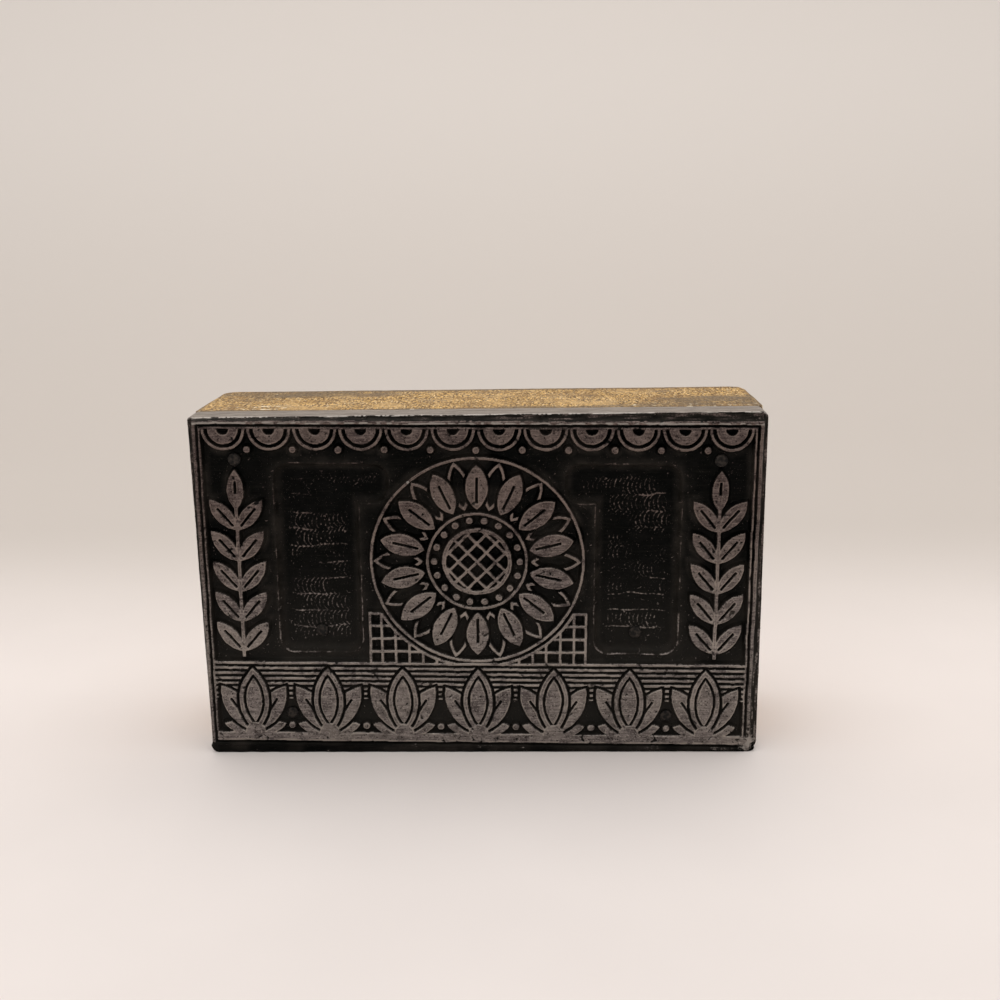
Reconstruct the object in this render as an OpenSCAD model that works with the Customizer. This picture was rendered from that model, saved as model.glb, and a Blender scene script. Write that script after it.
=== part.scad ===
// A letterpress printing block: a lead-backed relief plate on an end-grain hardwood mount.
// The block stands on a long edge. The printing face looks towards -Y and the foot towards +Y.
// The origin is at the middle of the edge that it stands on.

/* [Block] */
// Width of the block, along the edge that it stands on
face_w = 81.5; // [79:0.5:90]
// Height of the printing face
face_h = 51; // [50:0.5:56]
// Type height, from the foot of the mount to the printing plane
type_high = 23.317; // [22.8:0.001:25.2]
// Radius of the mount's two upright edges at the foot
mount_corner_r = 1.8; // [0.5:0.1:4]

/* [Plate] */
// Thickness of the cast backing metal
backing_t = 4; // [3:0.1:5]
// Thickness of the face shell under its low parts
shell_t = 0.65; // [0.4:0.05:0.9]
// Height of the printing surface above the shell's low parts
relief_depth = 1; // [0.7:0.05:1.4]
// Depth of the routed pools into the backing metal
rout_depth = 0.4; // [0.2:0.1:1.2]
// Radius of the cutter that routed the pools
cutter_r = 2.2; // [1:0.1:3]

/* [Brads] */
// Radius of a brad's shank
brad_r = 0.5; // [0.35:0.05:0.65]
// Radius of a brad's head
brad_head_r = 0.9; // [0.75:0.05:1.1]
// Thickness of a brad's head
brad_head_t = 0.5; // [0.3:0.05:0.6]
// Length of a brad under its head
brad_len = 12.7; // [9:0.1:16]
// Length of a brad's point
brad_tip = 1.2; // [0.6:0.1:2]
// Clearance round a brad's shank and past its point
brad_clearance = 0.02; // [0.01:0.01:0.05]
// Clearance between a brad's head and the relief round it
well_clearance = 0.25; // [0.1:0.05:0.5]

/* [Border rules] */
// Bare margin of the plate left of the rules
margin_left = 0.55; // [0.4:0.05:1.5]
// Bare margin of the plate right of the rules
margin_right = 1; // [0.4:0.05:1.5]
// Bare margin of the plate above the rules
margin_top = 0.85; // [0.6:0.05:1.5]
// Bare margin of the plate below the rules
margin_bottom = 0.75; // [0.6:0.05:1.5]
// How far the design is turned on the plate, clockwise, in degrees
design_tilt = 0.7; // [0:0.05:0.8]
// Width of the outer rule
outer_rule = 0.5; // [0.3:0.05:0.8]
// Gap between the two rules
rule_gap = 0.35; // [0.25:0.05:0.6]
// Width of the inner rule
inner_rule = 0.3; // [0.2:0.05:0.6]

/* [Fine lines] */
// Width of a ruled or outlined line
line_w = 0.42; // [0.3:0.02:0.5]
// Width of a vein cut into a leaf or petal
vein_w = 0.34; // [0.2:0.02:0.5]
// Gap left where one shape passes behind another
behind_gap = 0.4; // [0.25:0.05:0.6]

/* [Scallops] */
// Number of scallops along the top
scallops = 12; // [8:1:13]
// Outer radius of a scallop
scallop_r = 3.1; // [2.6:0.1:3.2]
// Radius of the pearl between two scallops
pearl_r = 0.5; // [0.35:0.05:0.6]

/* [Rosette] */
// Outer radius of the rosette
rosette_r = 15.4; // [14:0.1:15.6]
// Radius of the latticed heart, with its ring
heart_r = 5; // [4:0.1:5.4]
// Width of the heart's ring
heart_ring = 0.6; // [0.4:0.05:0.9]
// Distance between the lattice lines in the heart
heart_pitch = 1.9; // [1.5:0.1:2.6]
// Number of beads round the heart
beads = 18; // [12:1:20]
// Radius of a bead
bead_r = 0.5; // [0.3:0.05:0.6]
// Radius of the circle that the beads stand on
bead_circle_r = 6.15; // [6:0.05:6.4]
// Radius of the ring outside the beads
bead_ring_r = 7.3; // [7.1:0.05:7.5]
// Number of petals
petals = 14; // [10:1:15]
// Length of a petal
petal_l = 6.5; // [5:0.1:6.8]
// Width of a petal
petal_w = 3.2; // [2:0.1:3.4]
// Length of the outlined petals behind
back_petal_l = 7.2; // [5.6:0.1:7.4]
// Width of the outlined petals behind
back_petal_w = 3; // [2:0.1:3.4]

/* [Lattice panels] */
// Height of the lattice panels beside the rosette's foot
panel_h = 7.8; // [4:0.1:9]
// How far the lattice panels reach past the rosette's side
panel_reach = 0.5; // [0:0.1:0.8]
// Distance between the lattice lines in a panel
panel_pitch = 2; // [1.6:0.1:2.6]

/* [Tulip border] */
// Height of the border along the bottom
tulip_band_h = 12.1; // [11.6:0.1:13]
// Number of tulips
tulips = 7; // [5:1:7]
// Height of the solid bar under the tulips
base_bar_h = 1.1; // [0.6:0.1:1.5]
// Radius of the root that a tulip grows from
root_r = 1.5; // [1:0.1:1.9]
// Length of a tulip's middle petal
tulip_l = 10.2; // [8:0.1:10.4]
// Width of a tulip's middle petal
tulip_w = 4.4; // [3:0.1:4.8]
// Length of a tulip's side petals
side_petal_l = 8.8; // [7:0.1:9]
// Width of a tulip's side petals
side_petal_w = 3.4; // [2.4:0.1:3.6]
// Angle of the side petals from upright
side_petal_angle = 33; // [28:1:34]
// Length of the low leaves at a tulip's root
low_leaf_l = 4.8; // [3.6:0.1:5]
// Width of the low leaves
low_leaf_w = 1.9; // [1.2:0.1:2.2]
// Angle of the low leaves from upright
low_leaf_angle = 74; // [68:1:78]
// Height of the ruled tint behind the tulips
tint_h = 5.2; // [3:0.1:6]
// Distance between the lines of the ruled tint
tint_pitch = 0.8; // [0.7:0.05:1.2]

/* [Sprigs] */
// Distance from the inner rule to a sprig's stem
sprig_inset = 4.5; // [4.2:0.1:5]
// Width of a stem
stem_w = 0.54; // [0.4:0.02:0.8]
// Number of leaf pairs on a sprig
leaf_pairs = 5; // [3:1:5]
// Distance between leaf pairs
leaf_step = 4.6; // [4.2:0.1:4.8]
// Length of a leaf
leaf_l = 5.9; // [4.5:0.1:6.1]
// Width of a leaf
leaf_w = 2.4; // [1.6:0.1:2.6]
// Angle of a leaf from the stem
leaf_angle = 40; // [30:1:42]

/* [Routed pools] */
// Gap between a pool and the design beside it
pool_gap = 1.5; // [1:0.1:2]
// Height of the part of a pool that reaches over the rosette's shoulder
shoulder_h = 5.8; // [4.6:0.1:7]
// How far that part reaches in from the rosette's side
shoulder_reach = 4.4; // [2:0.1:5]

/* [Hidden] */
$fn = 96;
EPS = 0.02;

// Depths along Y, from the foot to the printing plane
foot_y = type_high / 2;
shell_back_y = -foot_y + relief_depth + shell_t;
shell_floor_y = -foot_y + relief_depth;
mount_front_y = shell_back_y + backing_t;
pool_floor_y = shell_back_y + rout_depth;
mount_t = foot_y - mount_front_y;

// The design's own frame is centred on the rules, with u to the right and v up
design_w = face_w - margin_left - margin_right;
design_h = face_h - margin_top - margin_bottom;
design_u = (margin_left - margin_right) / 2;
design_v = (margin_bottom - margin_top) / 2;
rules_w = outer_rule + rule_gap + inner_rule;
inner_u = design_w / 2 - rules_w;
inner_v = design_h / 2 - rules_w;

band_top_v = -inner_v + tulip_band_h;
scallop_v = inner_v - scallop_r;
scallop_pitch = 2 * inner_u / scallops;
field_v = (band_top_v + scallop_v) / 2;
rosette_v = field_v - pearl_r / 2;
tulip_pitch = 2 * inner_u / tulips;
root_v = -inner_v + base_bar_h;
low_bead_v = root_v + bead_r * 2.2;
stem_u = inner_u - sprig_inset;
sprig_foot_v = band_top_v + 1;
first_leaf_v = sprig_foot_v + 0.8;
sprig_leaf_reach = leaf_l * sin(leaf_angle);
stem_top_v = first_leaf_v + leaf_pairs * leaf_step - 1.6;
sprig_top_v = stem_top_v + leaf_l;
pool_in_u = rosette_r + pool_gap;
pool_out_u = stem_u - sprig_leaf_reach - pool_gap;
pool_low_v = band_top_v + pool_gap;
pool_high_v = scallop_v - pool_gap - pearl_r;

low_brad_v = low_bead_v + bead_r + brad_head_r + 1.5 * well_clearance;

// Places of the brads in the design's frame: two above the sprigs, two between tulips, two in the pools
shell_brads = [
    for (side = [-1, 1]) [side * stem_u, (sprig_top_v + scallop_v) / 2],
    for (side = [-1, 1]) [side * (tulips / 2 - 1) * tulip_pitch, low_brad_v]
];
pool_brads = [
    for (side = [-1, 1]) [side * (pool_in_u + pool_out_u) / 2, pool_low_v + cutter_r + brad_head_r]
];

// A pointed leaf along +u from its root at the origin: the part that two equal circles share
module leaf_shape(length, width, grow = 0) {
    arc_r = (length * length + width * width) / (4 * width);
    intersection_for (side = [-1, 1])
        translate([length / 2, side * (arc_r - width / 2)])
            circle(r = arc_r + grow);
}

// A leaf with a vein cut along its middle
module veined_leaf(length, width) {
    difference() {
        leaf_shape(length, width);
        translate([length * 0.14, -vein_w / 2])
            square([length * 0.58, vein_w]);
    }
}

// A round line, by its outer radius
module ring(r, w) {
    difference() {
        circle(r = r);
        circle(r = r - w);
    }
}

// Crossing lines over a square of the given size
module lattice(size, pitch) {
    lines = ceil(size / pitch / 2);
    for (k = [-lines : lines]) {
        translate([k * pitch - line_w / 2, -size / 2])
            square([line_w, size]);
        translate([-size / 2, k * pitch - line_w / 2])
            square([size, line_w]);
    }
}

// Puts a shape upright on the tulip border's base, at each tulip
module at_tulips() {
    for (k = [0 : tulips - 1])
        translate([(k - (tulips - 1) / 2) * tulip_pitch, root_v])
            children();
}

module border_rules() {
    difference() {
        square([design_w, design_h], center = true);
        square([design_w - 2 * outer_rule, design_h - 2 * outer_rule], center = true);
    }
    difference() {
        square([2 * (inner_u + inner_rule), 2 * (inner_v + inner_rule)], center = true);
        square([2 * inner_u, 2 * inner_v], center = true);
    }
}

module scallop_row() {
    intersection() {
        for (k = [0 : scallops - 1])
            translate([(k - (scallops - 1) / 2) * scallop_pitch, inner_v]) {
                ring(scallop_r, line_w);
                ring(scallop_r - line_w - behind_gap * 1.2, scallop_r * 0.44);
            }
        translate([-inner_u - inner_rule / 2, scallop_v - 1])
            square([2 * inner_u + inner_rule, scallop_r + 1 + inner_rule / 2]);
    }
    for (k = [1 : scallops - 1])
        translate([(k - scallops / 2) * scallop_pitch, scallop_v + pearl_r / 4])
            circle(r = pearl_r);
}

module rosette() {
    petal_root = bead_ring_r + behind_gap;
    ring(rosette_r, line_w);
    ring(bead_ring_r, line_w);
    ring(heart_r, heart_ring);
    intersection() {
        circle(r = heart_r - heart_ring / 2);
        rotate(45)
            lattice(2 * heart_r, heart_pitch);
    }
    for (k = [0 : beads - 1])
        rotate(90 + (k + 0.5) * 360 / beads)
            translate([bead_circle_r, 0])
                circle(r = bead_r);
    for (k = [0 : petals - 1])
        rotate(90 + k * 360 / petals)
            translate([petal_root, 0])
                veined_leaf(petal_l, petal_w);
    difference() {
        for (k = [0 : petals - 1])
            rotate(90 + (k + 0.5) * 360 / petals)
                translate([petal_root, 0])
                    difference() {
                        leaf_shape(back_petal_l, back_petal_w);
                        leaf_shape(back_petal_l, back_petal_w, grow = -line_w);
                    }
        for (k = [0 : petals - 1])
            rotate(90 + k * 360 / petals)
                translate([petal_root, 0])
                    leaf_shape(petal_l, petal_w, grow = behind_gap);
    }
}

// The lattice panels on both sides of the rosette's foot, outlined and cut back along the rosette
module lattice_panels() {
    panel_u = rosette_r + panel_reach;
    difference() {
        translate([0, band_top_v + panel_h / 2])
            intersection() {
                square([2 * panel_u, panel_h + line_w], center = true);
                union() {
                    lattice(2 * panel_u, panel_pitch);
                    difference() {
                        square([2 * panel_u + 1, panel_h + line_w + 1], center = true);
                        square([2 * panel_u - 2 * line_w, panel_h - line_w], center = true);
                    }
                    translate([0, rosette_v - band_top_v - panel_h / 2])
                        ring(rosette_r + behind_gap + line_w, line_w + EPS);
                }
            }
        translate([0, rosette_v])
            circle(r = rosette_r + behind_gap);
    }
}

// One tulip, upright on its root
module tulip() {
    intersection() {
        circle(r = root_r);
        translate([-root_r, -base_bar_h / 2])
            square([2 * root_r, root_r + base_bar_h]);
    }
    difference() {
        rotate(90)
            leaf_shape(tulip_l, tulip_w);
        rotate(90)
            difference() {
                leaf_shape(tulip_l, tulip_w, grow = -line_w * 1.6);
                leaf_shape(tulip_l, tulip_w, grow = -line_w * 1.6 - vein_w);
            }
    }
    for (side = [-1, 1]) {
        difference() {
            rotate(90 + side * side_petal_angle)
                veined_leaf(side_petal_l, side_petal_w);
            rotate(90)
                leaf_shape(tulip_l, tulip_w, grow = behind_gap);
        }
        difference() {
            rotate(90 + side * low_leaf_angle)
                leaf_shape(low_leaf_l, low_leaf_w);
            rotate(90 + side * side_petal_angle)
                leaf_shape(side_petal_l, side_petal_w, grow = behind_gap);
        }
    }
}

// The outline of a tulip's three petals, with the gap that is left behind them
module tulip_shadow() {
    rotate(90)
        leaf_shape(tulip_l, tulip_w, grow = behind_gap);
    for (side = [-1, 1])
        rotate(90 + side * side_petal_angle)
            leaf_shape(side_petal_l, side_petal_w, grow = behind_gap);
}

module tulip_border() {
    tint_lines = floor(tint_h / tint_pitch);
    translate([-inner_u - inner_rule / 2, band_top_v - line_w / 2])
        square([2 * inner_u + inner_rule, line_w]);
    translate([-inner_u - inner_rule / 2, -inner_v - inner_rule / 2])
        square([2 * inner_u + inner_rule, base_bar_h + inner_rule / 2]);
    at_tulips()
        tulip();
    difference() {
        for (k = [1 : tint_lines])
            translate([-inner_u - inner_rule / 2, band_top_v - k * tint_pitch - line_w / 2])
                square([2 * inner_u + inner_rule, line_w]);
        at_tulips()
            tulip_shadow();
    }
    for (k = [1 : tulips - 1])
        translate([(k - tulips / 2) * tulip_pitch, low_bead_v])
            circle(r = bead_r);
}

module sprig() {
    translate([stem_u - stem_w / 2, sprig_foot_v])
        square([stem_w, stem_top_v - sprig_foot_v + leaf_w]);
    translate([stem_u, stem_top_v])
        rotate(90)
            veined_leaf(leaf_l, leaf_w);
    for (k = [0 : leaf_pairs - 1], side = [-1, 1])
        translate([stem_u, first_leaf_v + k * leaf_step])
            rotate(90 + side * leaf_angle)
                veined_leaf(leaf_l, leaf_w);
}

// The whole printing surface, in the design's frame
module design() {
    border_rules();
    scallop_row();
    translate([0, rosette_v])
        rosette();
    lattice_panels();
    tulip_border();
    for (side = [0, 1])
        mirror([side, 0])
            sprig();
}

// A rectangle from corner to corner, with the cutter's radius at its corners
module routed_box(u1, v1, u2, v2) {
    r = min(cutter_r, (u2 - u1) / 2.1, (v2 - v1) / 2.1);
    translate([u1 + r, v1])
        square([u2 - u1 - 2 * r, v2 - v1]);
    translate([u1, v1 + r])
        square([u2 - u1, v2 - v1 - 2 * r]);
    for (u = [u1 + r, u2 - r], v = [v1 + r, v2 - r])
        translate([u, v])
            circle(r = r);
}

// The two pools, routed where nothing prints
module pools() {
    for (side = [0, 1])
        mirror([side, 0]) {
            routed_box(pool_in_u, pool_low_v, pool_out_u, pool_high_v);
            routed_box(pool_in_u - shoulder_reach, pool_high_v - shoulder_h, pool_out_u, pool_high_v);
        }
}

// Stands a flat shape in the design's frame up on the plate: its back at y, and its front t nearer the printer
module on_plate(y, t) {
    translate([design_u, y, face_h / 2 + design_v])
        rotate([90, 0, 0])
            linear_extrude(height = t)
                rotate(-design_tilt)
                    children();
}

module rectangle_slab(y, t) {
    translate([-face_w / 2, y - t, 0])
        cube([face_w, t, face_h]);
}

// Holes for the brads' shanks, from the head's seat to past the point
module brad_holes() {
    deep = brad_len + brad_clearance;
    on_plate(shell_floor_y + deep, deep)
        for (p = shell_brads)
            translate(p)
                circle(r = brad_r + brad_clearance);
    on_plate(pool_floor_y + deep, deep)
        for (p = pool_brads)
            translate(p)
                circle(r = brad_r + brad_clearance);
}

// Room round the brads' heads, from their seat out past the printing plane
module brad_wells() {
    for (set = [[shell_floor_y, shell_brads], [pool_floor_y, pool_brads]])
        on_plate(set[0], relief_depth + shell_t + rout_depth + 1)
            for (p = set[1])
                translate(p)
                    circle(r = brad_head_r + well_clearance);
}

// One brad with its head's seat at the origin and its point towards -Z
module brad() {
    translate([0, 0, -brad_len + brad_tip])
        cylinder(r = brad_r, h = brad_len - brad_tip + EPS);
    translate([0, 0, -brad_len])
        cylinder(r1 = brad_r * 0.1, r2 = brad_r, h = brad_tip);
    cylinder(r1 = brad_head_r, r2 = brad_head_r * 0.82, h = brad_head_t);
}

module wood_block() {
    color("#a8762f")
        difference() {
            linear_extrude(height = face_h)
                difference() {
                    translate([-face_w / 2, mount_front_y])
                        square([face_w, mount_t]);
                    for (side = [0, 1])
                        mirror([side, 0])
                            translate([face_w / 2 - mount_corner_r, foot_y - mount_corner_r])
                                difference() {
                                    square([mount_corner_r + 1, mount_corner_r + 1]);
                                    circle(r = mount_corner_r);
                                }
                }
            brad_holes();
        }
}

module backing_metal() {
    color("#8d8f92")
        difference() {
            rectangle_slab(mount_front_y, backing_t);
            on_plate(pool_floor_y, rout_depth + EPS)
                pools();
            brad_holes();
        }
}

module face_shell() {
    color("#2c2a2b")
        difference() {
            union() {
                difference() {
                    rectangle_slab(shell_back_y, shell_t);
                    on_plate(shell_back_y + EPS, shell_t + 2 * EPS)
                        pools();
                }
                on_plate(shell_floor_y + EPS, relief_depth + EPS)
                    design();
            }
            brad_holes();
            brad_wells();
        }
}

module brads() {
    color("#6e5b45")
        for (set = [[shell_floor_y, shell_brads], [pool_floor_y, pool_brads]], p = set[1])
            translate([design_u, set[0], face_h / 2 + design_v])
                rotate([90, 0, 0])
                    rotate(-design_tilt)
                        translate(p)
                            brad();
}

wood_block();
backing_metal();
face_shell();
brads();
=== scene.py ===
"""A letterpress printing block: a lead-backed relief plate, black with old ink, nailed to a hardwood mount.

The row frame is in metres with +Z up, and the printing face looks towards -Y. Every shape below is worked
out in millimetres in that frame and turned to metres when its mesh is made.
"""

import math
from functools import partial

import bpy
import numpy as np
from mathutils import Euler, Matrix, Vector


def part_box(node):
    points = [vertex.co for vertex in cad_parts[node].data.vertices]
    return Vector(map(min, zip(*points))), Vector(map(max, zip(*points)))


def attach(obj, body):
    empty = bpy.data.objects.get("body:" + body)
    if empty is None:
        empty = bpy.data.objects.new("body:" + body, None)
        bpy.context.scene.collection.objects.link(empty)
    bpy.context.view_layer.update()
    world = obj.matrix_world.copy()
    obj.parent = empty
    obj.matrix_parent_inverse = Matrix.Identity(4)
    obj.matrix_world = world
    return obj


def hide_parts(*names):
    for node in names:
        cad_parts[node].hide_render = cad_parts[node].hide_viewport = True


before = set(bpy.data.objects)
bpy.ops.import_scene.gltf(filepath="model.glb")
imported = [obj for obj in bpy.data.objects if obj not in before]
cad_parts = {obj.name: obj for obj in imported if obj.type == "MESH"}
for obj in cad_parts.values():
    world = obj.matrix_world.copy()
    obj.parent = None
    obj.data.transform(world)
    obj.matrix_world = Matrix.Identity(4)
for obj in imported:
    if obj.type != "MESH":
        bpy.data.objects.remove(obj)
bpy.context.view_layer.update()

MM = 0.001

# The solids' boxes, in millimetres
(SHELL_LOW, SHELL_HIGH), (BACKING_LOW, BACKING_HIGH), (WOOD_LOW, WOOD_HIGH) = (
    np.array(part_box(node)) / MM for node in ("face_shell", "backing_metal", "wood_block")
)
FACE_W = SHELL_HIGH[0] - SHELL_LOW[0]
FACE_H = SHELL_HIGH[2] - SHELL_LOW[2]
PRINTING_Y = SHELL_LOW[1]

# The plate: depths below the printing plane, and how far behind the pools' floors its face ends
RELIEF_DEPTH = 1.0
ROUT_DEPTH = 0.4
POOL_DEPTH = SHELL_HIGH[1] - PRINTING_Y + ROUT_DEPTH
PLATE_SPLIT = 0.12
PLATE_BACK_Y = PRINTING_Y + POOL_DEPTH + PLATE_SPLIT

# How far each corner of the plate is worn round, seen from the front
PLATE_CORNERS = {(-1, -1): 1.25, (1, -1): 1.5, (-1, 1): 0.45, (1, 1): 0.95}

# The mount's upright edges at the foot
MOUNT_CORNER_R = 2.3

# The brads
BRAD_R = 0.5
BRAD_HEAD_R = 0.9
BRAD_HEAD_T = 0.5
BRAD_LEN = 12.7
BRAD_TIP = 1.2
WELL_CLEARANCE = 0.25

# The design on the plate, in its own frame: u to the right and v up from the middle of the rules
MARGIN_LEFT, MARGIN_RIGHT, MARGIN_TOP, MARGIN_BOTTOM = 0.55, 1.0, 0.85, 0.75
TILT_COS, TILT_SIN = math.cos(math.radians(0.7)), math.sin(math.radians(0.7))
OUTER_RULE, RULE_GAP, INNER_RULE = 0.5, 0.35, 0.3
LINE_W = 0.42
VEIN_W = 0.34
BEHIND_GAP = 0.4
SCALLOPS, SCALLOP_R, PEARL_R = 12, 3.1, 0.5
ROSETTE_R = 15.4
HEART_R, HEART_RING, HEART_PITCH = 5.0, 0.6, 1.9
BEADS, BEAD_R, BEAD_CIRCLE_R, BEAD_RING_R = 18, 0.5, 6.15, 7.3
PETALS, PETAL_L, PETAL_W = 14, 6.5, 3.2
BACK_PETAL_L, BACK_PETAL_W = 7.2, 3.0
PANEL_H, PANEL_REACH, PANEL_PITCH = 7.8, 0.5, 2.0
TULIP_BAND_H, TULIPS, BASE_BAR_H, ROOT_R = 12.1, 7, 1.1, 1.5
TULIP_L, TULIP_W = 10.2, 4.4
SIDE_PETAL_L, SIDE_PETAL_W, SIDE_PETAL_ANGLE = 8.8, 3.4, math.radians(33)
LOW_LEAF_L, LOW_LEAF_W, LOW_LEAF_ANGLE = 4.8, 1.9, math.radians(74)
TINT_H, TINT_PITCH = 5.2, 0.8
SPRIG_INSET, STEM_W = 4.5, 0.54
LEAF_PAIRS, LEAF_STEP, LEAF_L, LEAF_W, LEAF_ANGLE = 5, 4.6, 5.9, 2.4, math.radians(40)
POOL_GAP, CUTTER_R, SHOULDER_H, SHOULDER_REACH = 1.5, 2.2, 5.8, 4.4

DESIGN_W = FACE_W - MARGIN_LEFT - MARGIN_RIGHT
DESIGN_H = FACE_H - MARGIN_TOP - MARGIN_BOTTOM
DESIGN_X = (MARGIN_LEFT - MARGIN_RIGHT) / 2
DESIGN_Z = FACE_H / 2 + (MARGIN_BOTTOM - MARGIN_TOP) / 2
RULES_W = OUTER_RULE + RULE_GAP + INNER_RULE
INNER_U = DESIGN_W / 2 - RULES_W
INNER_V = DESIGN_H / 2 - RULES_W
BAND_TOP_V = -INNER_V + TULIP_BAND_H
SCALLOP_V = INNER_V - SCALLOP_R
SCALLOP_PITCH = 2 * INNER_U / SCALLOPS
ROSETTE_V = (BAND_TOP_V + SCALLOP_V) / 2 - PEARL_R / 2
TULIP_PITCH = 2 * INNER_U / TULIPS
ROOT_V = -INNER_V + BASE_BAR_H
LOW_BEAD_V = ROOT_V + BEAD_R * 2.2
STEM_U = INNER_U - SPRIG_INSET
SPRIG_FOOT_V = BAND_TOP_V + 1
FIRST_LEAF_V = SPRIG_FOOT_V + 0.8
STEM_TOP_V = FIRST_LEAF_V + LEAF_PAIRS * LEAF_STEP - 1.6
POOL_IN_U = ROSETTE_R + POOL_GAP
POOL_OUT_U = STEM_U - LEAF_L * math.sin(LEAF_ANGLE) - POOL_GAP
POOL_LOW_V = BAND_TOP_V + POOL_GAP
POOL_HIGH_V = SCALLOP_V - POOL_GAP - PEARL_R

# Places of the brads in the design's frame, with how deep each head's seat lies
HIGH_BRAD_V = (STEM_TOP_V + LEAF_L + SCALLOP_V) / 2
LOW_BRAD_U = (TULIPS / 2 - 1) * TULIP_PITCH
LOW_BRAD_V = LOW_BEAD_V + BEAD_R + BRAD_HEAD_R + 1.5 * WELL_CLEARANCE
POOL_BRAD_U = (POOL_IN_U + POOL_OUT_U) / 2
POOL_BRAD_V = POOL_LOW_V + CUTTER_R + BRAD_HEAD_R
BRAD_SEATS = [
    (side * u, v, depth)
    for u, v, depth in (
        (STEM_U, HIGH_BRAD_V, RELIEF_DEPTH),
        (LOW_BRAD_U, LOW_BRAD_V, RELIEF_DEPTH),
        (POOL_BRAD_U, POOL_BRAD_V, POOL_DEPTH),
    )
    for side in (-1, 1)
]

# The plate's mesh: four upright strips of one grid, so that each stays a light mesh
STRIPS = 4
STRIP_COLUMNS = 196
PLATE_ROWS = 490

# The photograph's view, worked out from the corners of the block in it, in metres, radians and millimetres
CAMERA_PLACE = (0.009012, -0.178635, 0.081493)
CAMERA_YAW, CAMERA_PITCH, CAMERA_ROLL = -0.03438, 0.249908, -0.01657
CAMERA_LENS, CAMERA_SENSOR = 43.96, 36.0

# The lamps: place, what each looks at and its size, in metres, then its watts and its colour
LAMPS = {
    "overhead_softbox": ((0.0, 0.08, 0.7), (0.0, 0.08, 0.0), (0.8, 0.75), 3.05, "#fffcf9"),
    "left_softbox": ((-0.6, 0.1, 0.3), (0.0, 0.0, 0.0), (0.4, 0.4), 0.4, "#fffcf9"),
    "right_softbox": ((0.6, 0.1, 0.3), (0.0, 0.0, 0.0), (0.4, 0.4), 0.45, "#fffcf9"),
    "front_fill": ((-0.4, -0.7, 0.35), (0.0, 0.0, 0.02), (0.6, 0.6), 0.32, "#fffdfb"),
}
ROOM_LIGHT = {"Color": "#f3f0ed", "Strength": 0.7}


def smooth(t):
    """0 below 0, 1 above 1, and the S curve 3t^2 - 2t^3 between."""
    t = np.clip(t, 0, 1)
    return t * t * (3 - 2 * t)


def noise(x, y, z, grain, seed):
    """Smooth hills from -1 to 1: random numbers on a cubic lattice of side grain, blended by the S curve."""
    side = 64
    table = np.random.default_rng(seed).uniform(-1, 1, (side, side, side))
    x, y, z = np.broadcast_arrays(x / grain, y / grain, z / grain)
    low = [np.floor(c).astype(int) for c in (x, y, z)]
    part = [smooth(c - f) for c, f in zip((x, y, z), low)]
    total = np.zeros(x.shape)
    for corner in np.ndindex(2, 2, 2):
        share = np.ones(x.shape)
        for axis in range(3):
            share *= part[axis] if corner[axis] else 1 - part[axis]
        i, j, k = ((low[axis] + corner[axis]) % side for axis in range(3))
        total += share * table[i, j, k]
    return total


# Flat shapes as signed distances in millimetres: below zero inside the shape


def union(*shapes):
    return np.minimum.reduce(np.broadcast_arrays(*shapes))


def shared(*shapes):
    return np.maximum.reduce(np.broadcast_arrays(*shapes))


def cut(shape, *tools):
    return shared(shape, *(-tool for tool in tools))


def box(x, y, half_w, half_h):
    """A rectangle about the origin: the distance to its nearest side, and to its corner past both."""
    dx, dy = np.abs(x) - half_w, np.abs(y) - half_h
    return np.hypot(np.maximum(dx, 0), np.maximum(dy, 0)) + np.minimum(np.maximum(dx, dy), 0)


def disc(x, y, r):
    return np.hypot(x, y) - r


def ring(x, y, r, w):
    """A round line of width w, by its outer radius."""
    return np.abs(np.hypot(x, y) - r + w / 2) - w / 2


def leaf(x, y, length, width, grow=0.0):
    """A pointed leaf along +x from its root at the origin: what two equal discs share."""
    arc_r = (length**2 + width**2) / (4 * width)
    return np.hypot(x - length / 2, np.abs(y) + arc_r - width / 2) - arc_r - grow


def veined_leaf(x, y, length, width):
    """A leaf with a slot along its middle."""
    return cut(leaf(x, y, length, width), box(x - 0.43 * length, y, 0.29 * length, VEIN_W / 2))


def row_of(x, pitch, count):
    """x measured from the nearest of count places, pitch apart and centred on 0."""
    half = (count - 1) / 2
    return x - np.clip(np.round(x / pitch + half) - half, -half, half) * pitch


def round_about(x, y, count, turn):
    """x and y turned into the frame of the nearest of count spokes, the first at the angle turn."""
    step = 2 * math.pi / count
    angle = (np.arctan2(y, x) - turn + step / 2) % step - step / 2
    r = np.hypot(x, y)
    return r * np.cos(angle), r * np.sin(angle)


def lines(x, pitch):
    """Endless lines across x, pitch apart."""
    return np.abs((x + pitch / 2) % pitch - pitch / 2) - LINE_W / 2


def lattice(x, y, pitch):
    return union(lines(x, pitch), lines(y, pitch))


def from_upright(x, y, angle):
    """x and y in the frame of a leaf that leans by angle from +y, the same on both sides."""
    x = np.abs(x)
    return x * math.sin(angle) + y * math.cos(angle), x * math.cos(angle) - y * math.sin(angle)


def border_rules(u, v):
    outer = cut(
        box(u, v, DESIGN_W / 2, DESIGN_H / 2),
        box(u, v, DESIGN_W / 2 - OUTER_RULE, DESIGN_H / 2 - OUTER_RULE),
    )
    inner = cut(box(u, v, INNER_U + INNER_RULE, INNER_V + INNER_RULE), box(u, v, INNER_U, INNER_V))
    return union(outer, inner)


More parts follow.
